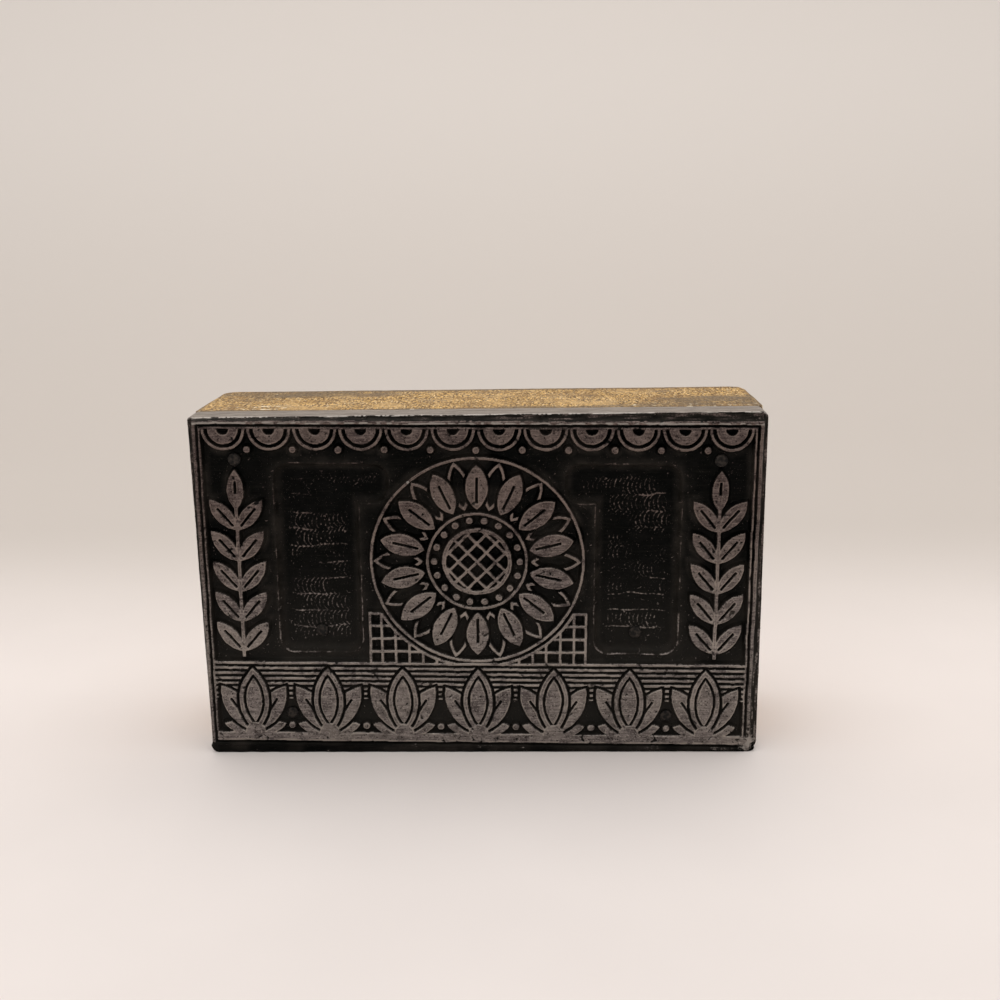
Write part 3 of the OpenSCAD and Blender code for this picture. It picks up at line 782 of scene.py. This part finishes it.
def brad_nails(material):
    """Six brads. Each is a profile of radius and height carried round its axis: a point, a straight shank and
    a low head whose dome is knocked a little flat on one side."""
    turns = 40
    dome = np.linspace(0, math.pi / 2, 9)
    head_edge, blunt = 0.12, 0.04
    radii = np.concatenate([
        [0.0, blunt, BRAD_R, BRAD_R, BRAD_HEAD_R * 0.97, BRAD_HEAD_R, BRAD_HEAD_R],
        BRAD_HEAD_R * (1 - head_edge * (1 - np.cos(dome)))[1:],
        BRAD_HEAD_R * (1 - head_edge) * np.cos(dome)[1:-1],
        [0.0],
    ])
    shoulder_h, dome_h = BRAD_HEAD_T * 0.62, BRAD_HEAD_T * 0.2
    heights = np.concatenate([
        [-BRAD_LEN, -BRAD_LEN, -BRAD_LEN + BRAD_TIP, 0.0, 0.0, blunt, shoulder_h],
        shoulder_h + (dome_h * np.sin(dome))[1:],
        shoulder_h + dome_h + ((BRAD_HEAD_T - shoulder_h - dome_h) * np.sin(dome))[1:-1],
        [BRAD_HEAD_T],
    ])
    angle = np.arange(turns) * 2 * math.pi / turns
    rings = len(radii) - 2
    ids = 1 + np.arange(rings * turns).reshape(rings, turns)
    quads = grid_quads(np.concatenate([ids, ids[:, :1]], 1).T)
    following = np.roll(ids, -1, axis=1)
    tip = np.stack([np.zeros(turns, int), following[0], ids[0]], -1)
    crown = np.stack([np.full(turns, rings * turns + 1), ids[-1], following[-1]], -1)
    around = radii[:, None] * np.cos(angle), heights[:, None], radii[:, None] * np.sin(angle)
    around = np.stack(np.broadcast_arrays(*around), -1)
    one = np.concatenate([around[0, :1], around[1:-1].reshape(-1, 3), around[-1, :1]])
    points, faces = [], []
    for k, (u, v, depth) in enumerate(BRAD_SEATS):
        x, z = on_plate(u, v)
        place = one * [1, -1, 1] + [x, PRINTING_Y + depth, z]
        lean = 0.05 * noise(one[:, 0], 0.0, one[:, 2], 1.1, 50 + k)
        place[:, 1] += np.abs(lean) * (one[:, 1] >= shoulder_h)
        points.append(place)
        faces += [rows + k * len(one) for rows in (quads, tip, crown)]
    make_piece("brad_nails", np.concatenate(points), faces, material, "brads")


# Materials


def srgb(text):
    """A colour written as sRGB hex, as linear red, green, blue and alpha."""
    parts = (int(text[k : k + 2], 16) / 255 for k in (1, 3, 5))
    return (*(c / 12.92 if c <= 0.04045 else ((c + 0.055) / 1.055) ** 2.4 for c in parts), 1.0)


# The nodes in use: Blender's kind, the inputs that values fill in turn, the output that is given back, and
# settings. A ramp carries its first value from the next two to the last two along an S curve. A blend goes
# from its first colour to its second as its share goes from 0 to 1, and a tint to the product of both
NODES = {
    "place": ("TexCoord", (), "Object", {}),
    "mask": ("Attribute", (), "Fac", {}),
    "moved": ("Mapping", ("Vector", "Scale", "Location"), 0, {}),
    "noise": ("TexNoise", ("Vector", "Scale", "Detail", "Roughness"), 0, {}),
    "cells": ("TexVoronoi", ("Vector",), "Distance", {}),
    "y_of": ("SeparateXYZ", (0,), 1, {}),
    "z_of": ("SeparateXYZ", (0,), 2, {}),
    "red_of": ("SeparateColor", (0,), 0, {}),
    "ramp": ("MapRange", (0, 1, 2, 3, 4), 0, {"interpolation_type": "SMOOTHSTEP"}),
    "plus": ("Math", (0, 1), 0, {"operation": "ADD"}),
    "minus": ("Math", (0, 1), 0, {"operation": "SUBTRACT"}),
    "times": ("Math", (0, 1), 0, {"operation": "MULTIPLY"}),
    "larger": ("Math", (0, 1), 0, {"operation": "MAXIMUM"}),
    "blend": ("Mix", (0, 6, 7), 2, {"data_type": "RGBA"}),
    "tint": ("Mix", (0, 6, 7), 2, {"data_type": "RGBA", "blend_type": "MULTIPLY"}),
    "bump": ("Bump", ("Height", "Strength", "Distance"), 0, {}),
}


def fill(node, inputs):
    """Fills a node's inputs with numbers, colours in sRGB hex, or other nodes' outputs, which are linked."""
    for key, value in inputs.items():
        if isinstance(value, bpy.types.NodeSocket):
            node.id_data.links.new(value, node.inputs[key])
        else:
            node.inputs[key].default_value = srgb(value) if isinstance(value, str) else value


def add_node(tree, name, *values, **settings):
    """Adds a node with its settings, fills its inputs and gives its output."""
    kind, keys, output, usual = NODES[name]
    node = tree.nodes.new("ShaderNode" + kind)
    for setting, value in {**usual, **settings}.items():
        setattr(node, setting, value)
    fill(node, dict(zip(keys, values)))
    return node.outputs[output]


def new_material(name, masks, patterns):
    """A new material, the function that adds nodes to it, and its values: the masks kept on the piece, then
    the patterns. A pattern is noise from 0 to 1: the millimetres between its hills along x, y and z, its
    detail, its roughness and, for one that mustn't lie on another, how far it is moved."""
    material = bpy.data.materials.new(name)
    material.use_nodes = True
    add = partial(add_node, material.node_tree)
    place = add("place")
    values = [add("mask", attribute_name=mask) for mask in masks]
    for spacing, detail, rough, *move in patterns.values():
        moved = add("moved", place, [1 / (s * MM) for s in spacing], *move)
        values.append(add("noise", moved, 1.0, detail, rough))
    return material, add, values


def layered(add, colour, *layers):
    """Colours laid over a first one. Each layer has the value that it follows, where along it the layer
    starts and where it is full, how much it covers at most, and its colour."""
    for value, start, full, most, over in layers:
        colour = add("blend", add("ramp", value, start, full, 0.0, most), colour, over)
    return colour


def finished(material, inputs):
    """The material, with the inputs of its surface shader filled."""
    fill(material.node_tree.nodes["Principled BSDF"], inputs)
    return material


def inked_plate():
    """A relief plate after long use: black ink dried in its low parts, and a printing surface rubbed back to
    mauve-grey metal. To the eye: dull black hollows with specks of dust, and flat tops with fine level brush
    lines, dark residue in patches and lighter worn edges."""
    # Brush lines of a wiped plate are about 0.05 mm apart; they are drawn 0.25 mm apart, to show
    material, add, values = new_material(
        "rubbed_relief_metal_with_dried_ink",
        ("rubbed", "bright", "thin", "planed"),
        {
            "brushed": ((3.6, 3.0, 0.25), 3.0, 0.65),
            "residue": ((1.5, 1.5, 1.2), 6.0, 0.68),
            "pits": ((0.32, 0.32, 0.30), 2.0, 0.6, (3.0, 1.0, 2.0)),
            "slow": ((16.0, 16.0, 12.0), 2.0, 0.5, (5.0, 2.0, 7.0)),
            "grit": ((0.26, 0.26, 0.24), 1.0, 0.5, (6.0, 4.0, 3.0)),
            "wiped": ((5.0, 5.0, 0.35), 4.0, 0.7, (1.0, 8.0, 5.0)),
            "tooled": ((2.4, 0.3, 2.4), 4.0, 0.7),
        },
    )
    rubbed, bright, thin, planed, brushed, residue, pits, slow, grit, wiped, tooled = values
    place = add("place")
    up = add("z_of", place)

    # The metal of the tops: lighter along its edges, and darker towards the head
    metal = layered(
        add, "#514a49",
        (brushed, 0.3, 0.7, 1.0, "#8d8580"),
        (residue, 0.44, 0.62, 0.66, "#403938"),
        (slow, 0.4, 0.7, 0.45, "#918981"),
        (grit, 0.44, 0.3, 0.55, "#a89f98"),
        (pits, 0.58, 0.68, 0.85, "#221e1d"),
        (rubbed, 0.78, 1.0, 0.75, "#a0978e"),
    )
    metal = add("tint", add("ramp", up, 0.014, 0.04), metal, "#cfc4c2")

    # The ink, browner where it is thin and where it is wiped in level strokes, with specks of dust and lint.
    # Low down it is lighter: a painted sheen, the reflection of the floor
    ink = layered(
        add, "#030403",
        (residue, 0.38, 0.66, 1.0, "#0a0a09"),
        (wiped, 0.5, 0.72, 0.36, "#1e1c18"),
    )
    # Painted sheen: the ink is lightened towards the foot, as if it reflected the pale floor
    painted_low_sheen = add("times", add("ramp", up, 0.034, 0.006, 0.0, 0.8), add("ramp", up, 0.001, 0.003))
    ink = add("blend", painted_low_sheen, ink, "#272522")
    ink = add("blend", add("times", thin, add("ramp", residue, 0.3, 0.6, 0.5, 1.0)), ink, "#2f2b27")
    speck_cell = 0.7 * MM
    cells = add("cells", add("moved", place, [1 / speck_cell] * 3))
    drawn = add("red_of", cells.node.outputs["Color"])
    speck = add("times", add("ramp", cells, 0.16, 0.07), add("ramp", drawn, 0.8, 0.93))
    ink = add("blend", add("times", speck, 0.7), ink, "#9a9186")

    # Where the ink is rubbed away, with a ragged edge
    bare = add("ramp", add("plus", rubbed, add("ramp", pits, 0.3, 0.7, 0.16, -0.16)), 0.2, 0.6)
    # Fresh metal and painted highlight: the bright mask lightens the colour and makes it metallic
    fresh_metal_and_highlight = add("ramp", add("plus", bright, add("ramp", brushed, 0.3, 0.7, -0.3, 0.3)), 0.35, 0.75)
    cleaned = add("ramp", add("plus", planed, add("ramp", wiped, 0.3, 0.7, 0.25, -0.35)), 0.35, 0.75)
    side = layered(add, "#7a736d", (tooled, 0.3, 0.7, 1.0, "#9e968e"))
    colour = add("blend", cleaned, add("blend", bare, ink, metal), side)
    relief = add("plus", add("times", brushed, 0.5), add("times", pits, 0.5))
    return finished(material, {
        "Base Color": add("blend", fresh_metal_and_highlight, colour, "#96908a"),
        "Metallic": add("larger", add("times", bare, 0.8), add("larger", fresh_metal_and_highlight, cleaned)),
        "Roughness": add("plus", add("ramp", residue, 0.3, 0.7, 0.33, 0.5), add("times", bare, 0.05)),
        "Normal": add("bump", relief, 0.35, 0.05 * MM),
        "Specular IOR Level": 0.035,
    })


def planed_alloy():
    """Cast lead, tin and antimony, planed on its edges. To the eye: dull light grey metal with fine tool
    lines along the plate's edge, darker smears of ink and a few bright scratches."""
    # Plane marks are about 0.1 mm apart; they are drawn 0.3 mm apart, to show
    material, add, (planed, smears, scratches) = new_material("planed_lead_alloy", (), {
        "planed": ((2.4, 0.3, 2.4), 4.0, 0.7),
        "smears": ((6.0, 1.2, 6.0), 4.0, 0.6, (2.0, 3.0, 1.0)),
        "scratches": ((5.0, 0.16, 5.0), 1.0, 0.4, (9.0, 4.0, 6.0)),
    })
    colour = layered(
        add, "#7c746d",
        (planed, 0.3, 0.7, 1.0, "#a1988f"),
        (smears, 0.5, 0.75, 0.7, "#5e554d"),
        (scratches, 0.72, 0.8, 0.8, "#d0c8be"),
    )
    return finished(material, {
        "Base Color": colour,
        "Metallic": add("ramp", smears, 0.5, 0.8, 0.75, 0.35),
        "Roughness": add("ramp", smears, 0.4, 0.7, 0.42, 0.6),
        "Normal": add("bump", planed, 0.4, 0.05 * MM),
    })


def hardwood():
    """A close-grained hardwood with its fibres upright, darkened by oil, ink and hands. To the eye: the top
    is end grain, golden with fine dark and pale specks, and the sides show upright streaks, pores and broad
    bands of growth, crossed by faint saw lines."""
    # Fibre bundles and pores are 0.05 to 0.15 mm wide; they are drawn 0.2 to 1 mm wide, to show
    material, add, values = new_material(
        "oiled_close_grained_hardwood",
        ("grime", "chipped", "end_grain"),
        {
            "fibres": ((0.36, 0.95, 11.0), 4.0, 0.75),
            "streaks": ((0.3, 0.3, 24.0), 6.0, 0.72, (2.0, 9.0, 5.0)),
            "long_pores": ((0.2, 0.2, 3.2), 2.0, 0.5, (6.0, 1.0, 3.0)),
            "pores": ((0.3, 0.8, 5.0), 3.0, 0.65, (4.0, 7.0, 1.0)),
            "rings": ((14.0, 2.6, 160.0), 3.0, 0.5, (1.0, 5.0, 2.0)),
            "stain": ((9.0, 4.0, 14.0), 5.0, 0.65, (8.0, 3.0, 4.0)),
            "bands": ((5.0, 9.0, 90.0), 3.0, 0.55, (7.0, 2.0, 1.0)),
            "sawn": ((40.0, 40.0, 0.7), 3.0, 0.7, (3.0, 3.0, 8.0)),
            "nicks": ((1.3, 0.9, 1.3), 2.0, 0.6, (2.0, 6.0, 9.0)),
        },
    )
    grime, chipped, end_grain, fibres, streaks, long_pores, pores, rings, stain, bands, sawn, nicks = values
    top = layered(
        add, "#65491f",
        (fibres, 0.42, 0.58, 1.0, "#dcb26c"),
        (pores, 0.56, 0.63, 0.9, "#3a2a18"),
        (pores, 0.44, 0.36, 0.9, "#f6dcae"),
    )
    side = layered(
        add, "#8a683b",
        (streaks, 0.34, 0.66, 1.0, "#c69b60"),
        (long_pores, 0.6, 0.68, 0.55, "#5a4226"),
        (long_pores, 0.36, 0.28, 0.45, "#dcb881"),
    )

    # Growth, stains and grime go over both, and fresh wood shows where it is chipped
    dirt = add("plus", grime, add("ramp", stain, 0.3, 0.7, -0.35, 0.35))
    nicked = add("plus", nicks, add("times", chipped, 0.13))
    colour = layered(
        add, add("blend", end_grain, side, top),
        (rings, 0.4, 0.65, 0.45, "#8d6d40"),
        (bands, 0.5, 0.66, 0.45, "#7b5c34"),
        (bands, 0.46, 0.34, 0.4, "#d9b47a"),
        (dirt, 0.0, 1.0, 0.8, "#5c4d39"),
        (nicked, 0.74, 0.78, 0.85, "#f1e4c8"),
    )
    height = add("times", end_grain, add("minus", fibres, add("ramp", pores, 0.55, 0.75)))
    height = add("minus", height, add("ramp", long_pores, 0.6, 0.68, 0.0, 0.5))
    height = add("plus", height, add("ramp", sawn, 0.5, 0.7, 0.0, 0.6))
    return finished(material, {
        "Base Color": colour,
        "Roughness": add("ramp", stain, 0.3, 0.7, 0.62, 0.48),
        "Normal": add("bump", height, 0.35, 0.08 * MM),
        "Specular IOR Level": 0.22,
    })


def inked_steel():
    """Drawn steel brads, tarnished and inked over. To the eye: dark round heads, a little lighter where a
    wiping rag has rubbed them."""
    material, add, (mottle,) = new_material("tarnished_steel_with_ink", (), {
        "mottle": ((0.5, 0.5, 0.5), 4.0, 0.6),
    })
    return finished(material, {
        "Base Color": layered(add, "#100f0e", (mottle, 0.4, 0.68, 1.0, "#3a3531")),
        "Metallic": add("ramp", mottle, 0.4, 0.7, 0.2, 0.7),
        "Roughness": 0.42,
        "Normal": add("bump", mottle, 0.4, 0.05 * MM),
        "Specular IOR Level": 0.14,
    })


def pale_paint():
    """Matt painted board under the block and behind it. To the eye: plain and pale, nearly white where the
    block stands, and a warm light grey behind it. The floor greys into it from just behind the block, and it
    is a little darker at the wall's foot: painted shade."""
    material, add, (mottle,) = new_material("matt_pale_board", (), {
        "mottle": ((40.0, 40.0, 40.0), 3.0, 0.5),
    })
    away, height = (add(axis, add("place")) for axis in ("y_of", "z_of"))
    floor = layered(add, "#e7e0dd", (mottle, 0.3, 0.7, 1.0, "#eae3e0"))
    # Painted shade: the wall is darker towards its foot
    wall = layered(add, "#c9c2bc", (height, 0.0, 0.15, 1.0, "#d4cec9"))
    return finished(material, {
        # Painted shade: the floor greys into the wall's colour from 10 mm to 120 mm behind the block's middle
        "Base Color": add("blend", add("ramp", away, 0.01, 0.12), floor, wall),
        "Roughness": 0.6,
        "Specular IOR Level": 0.2,
    })


# The stage, the light and the camera


def backdrop(material):
    """A pale floor that bends up into a wall behind: a profile of y and z carried along x."""
    reach, half_w, bend_y, bend_r, wall_h = 1400.0, 2600.0, 220.0, 300.0, 1200.0
    turn = np.linspace(-math.pi / 2, 0, 24)
    y = np.concatenate([[-reach], bend_y + bend_r * np.cos(turn), [bend_y + bend_r]])
    z = np.concatenate([[0.0], bend_r + bend_r * np.sin(turn), [wall_h]])
    xs = np.array([-half_w, half_w])
    points = np.stack([np.repeat(xs, len(y)), np.tile(y, 2), np.tile(z, 2)], -1)
    ids = np.arange(len(points)).reshape(2, len(y))
    floor = new_surface("backdrop", points, [grid_quads(ids)], material)


def area_light(name, place, target, size, watts, colour):
    """A soft oblong lamp that looks at target."""
    lamp = bpy.data.lights.new(name, "AREA")
    lamp.shape = "RECTANGLE"
    lamp.size, lamp.size_y = size
    lamp.energy = watts
    lamp.color = srgb(colour)[:3]
    made = new_object(name, lamp)
    made.location = place
    made.rotation_euler = (Vector(target) - Vector(place)).to_track_quat("-Z", "Y").to_euler()


def light_and_camera():
    """Soft even light, and the camera where the photograph was taken from, turned by its yaw and pitch and
    then rolled about its line of sight."""
    scene = bpy.context.scene
    scene.view_settings.view_transform = "Standard"
    world = bpy.data.worlds.new("soft_room")
    world.use_nodes = True
    fill(world.node_tree.nodes["Background"], ROOM_LIGHT)
    scene.world = world
    for name, lamp in LAMPS.items():
        area_light(name, *lamp)

    cam = bpy.data.cameras.new("photo_view")
    cam.lens, cam.sensor_width = CAMERA_LENS, CAMERA_SENSOR
    cam.clip_start, cam.clip_end = 0.005, 20.0
    made = new_object("photo_view", cam)
    turned = Euler((math.pi / 2 - CAMERA_PITCH, 0.0, -CAMERA_YAW)).to_matrix()
    turned = turned @ Matrix.Rotation(CAMERA_ROLL, 3, "Z")
    made.matrix_world = Matrix.Translation(CAMERA_PLACE) @ turned.to_4x4()
    scene.camera = made


face_plate(inked_plate())
backing_slab(planed_alloy())
wood_mount(hardwood())
brad_nails(inked_steel())
backdrop(pale_paint())
light_and_camera()
